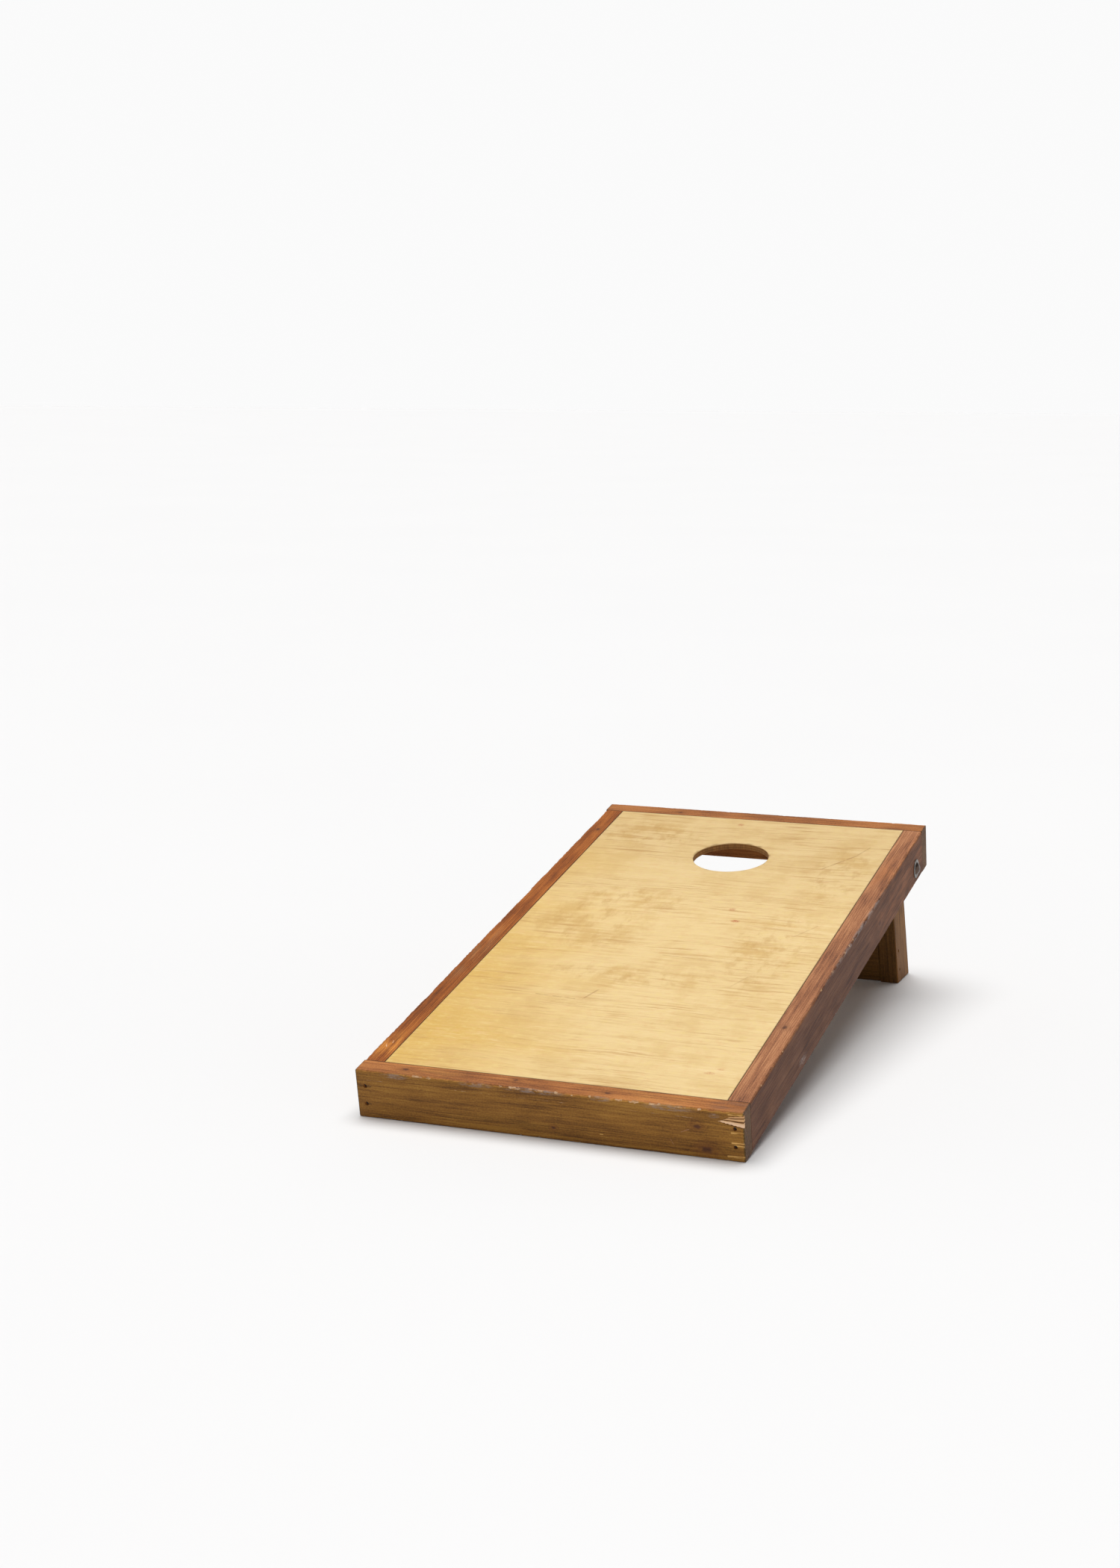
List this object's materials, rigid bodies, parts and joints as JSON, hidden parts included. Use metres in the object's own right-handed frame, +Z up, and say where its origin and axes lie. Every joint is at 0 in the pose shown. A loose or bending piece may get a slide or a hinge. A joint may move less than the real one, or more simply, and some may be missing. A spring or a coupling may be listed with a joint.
{
  "type": "cornhole board",
  "caption": "Cornhole board: plywood deck with a bag hole near its high end, set flush in a stained plank frame, on a folding leg frame that pivots on carriage bolts.",
  "frame": {"origin": "on the ground, at the middle of the object's box seen from above, in the playing position", "axes": "+X to the right across the board seen from its low front end, +Y from the low front end to the high rear end, +Z up"},
  "size_m": [0.703, 1.327, 0.3291],
  "materials": {
    "deck": "pale golden plywood, face grain across the board, satin and scuffed by play",
    "frame": "red-brown stained softwood, satin, worn and chipped along its edges",
    "leg": "brown stained softwood, satin",
    "cleat": "bare planed softwood",
    "dark_screw": "black phosphate",
    "zinc_screw": "yellowed zinc plate",
    "bolt": "dark bronzed steel, polished by handling",
    "washer": "dull zinc plate",
    "nut": "zinc plate with a nylon collar"
  },
  "bodies": {
    "board": {"deck": "deck", "front_rail": "frame", "rear_rail": "frame", "left_side_rail": "frame", "right_side_rail": "frame", "front_cleat": "cleat", "rear_cleat": "cleat", "left_cleat": "cleat", "right_cleat": "cleat", "front_rail_screws": "dark_screw", "rear_rail_screws": "dark_screw", "cleat_screws": "zinc_screw", "deck_screws": "zinc_screw", "left_pivot_bolt": "bolt", "right_pivot_bolt": "bolt", "left_head_washer": "washer", "right_head_washer": "washer", "left_spacer_washer": "washer", "right_spacer_washer": "washer", "left_nut_washer": "washer", "right_nut_washer": "washer", "left_lock_nut": "nut", "right_lock_nut": "nut"},
    "legs": {"left_leg": "leg", "right_leg": "leg", "crossbar": "leg", "crossbar_screws": "dark_screw"}
  },
  "joints": [
    {"name": "leg_fold", "type": "hinge", "parent": "board", "child": "legs", "pos_m": [0, 0.52463, 0.25453], "axis": [-1, 0, 0], "range_deg": [0, 99]}
  ]
}
